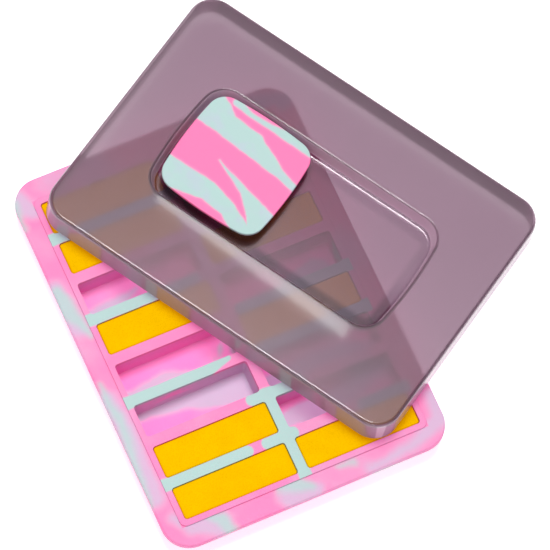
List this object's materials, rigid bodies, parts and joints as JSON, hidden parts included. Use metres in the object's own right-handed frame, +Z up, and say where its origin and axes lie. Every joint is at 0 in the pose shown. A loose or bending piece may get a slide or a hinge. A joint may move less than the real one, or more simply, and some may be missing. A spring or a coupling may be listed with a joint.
{
  "type": "wet palette",
  "caption": "Shallow rectangular paint palette: a soft well tray with long slots, sponge strips in some slots, and a clear lid with a sunken pocket that stores a square water cup.",
  "frame": {"origin": "centre of the tray's flat underside", "axes": "+Z up out of the wells; Y along the tray's long side with the first row of wells at +Y; X across the two columns"},
  "size_m": [0.2302, 0.2506, 0.0334],
  "materials": {
    "tray_silicone": "matte, marbled pink and mint",
    "sponge": "fine-pored sponge",
    "lid_plastic": "smooth, smoky translucent",
    "cup_silicone": "matte, marbled pink and mint"
  },
  "bodies": {
    "tray": {"tray": "tray_silicone", "sponge_l1": "sponge", "sponge_l2": "sponge", "sponge_l4": "sponge", "sponge_r3": "sponge", "sponge_r5": "sponge", "sponge_r8": "sponge"},
    "lid": {"lid": "lid_plastic"},
    "cup": {"water_cup": "cup_silicone"},
    "sponge_l7": {"sponge_l7": "sponge"},
    "sponge_l8": {"sponge_l8": "sponge"}
  },
  "joints": [
    {"name": "lid_lift", "type": "slide", "parent": "tray", "child": "lid", "axis": [0, 0, 1], "range_m": [0, 0.08]},
    {"name": "cup_lift", "type": "slide", "parent": "lid", "child": "cup", "axis": [0, 0, 1], "range_m": [0, 0.05]},
    {"name": "sponge_l7_lift", "type": "slide", "parent": "tray", "child": "sponge_l7", "axis": [0, 0, 1], "range_m": [0, 0.03]},
    {"name": "sponge_l8_lift", "type": "slide", "parent": "tray", "child": "sponge_l8", "axis": [0, 0, 1], "range_m": [0, 0.03]}
  ]
}
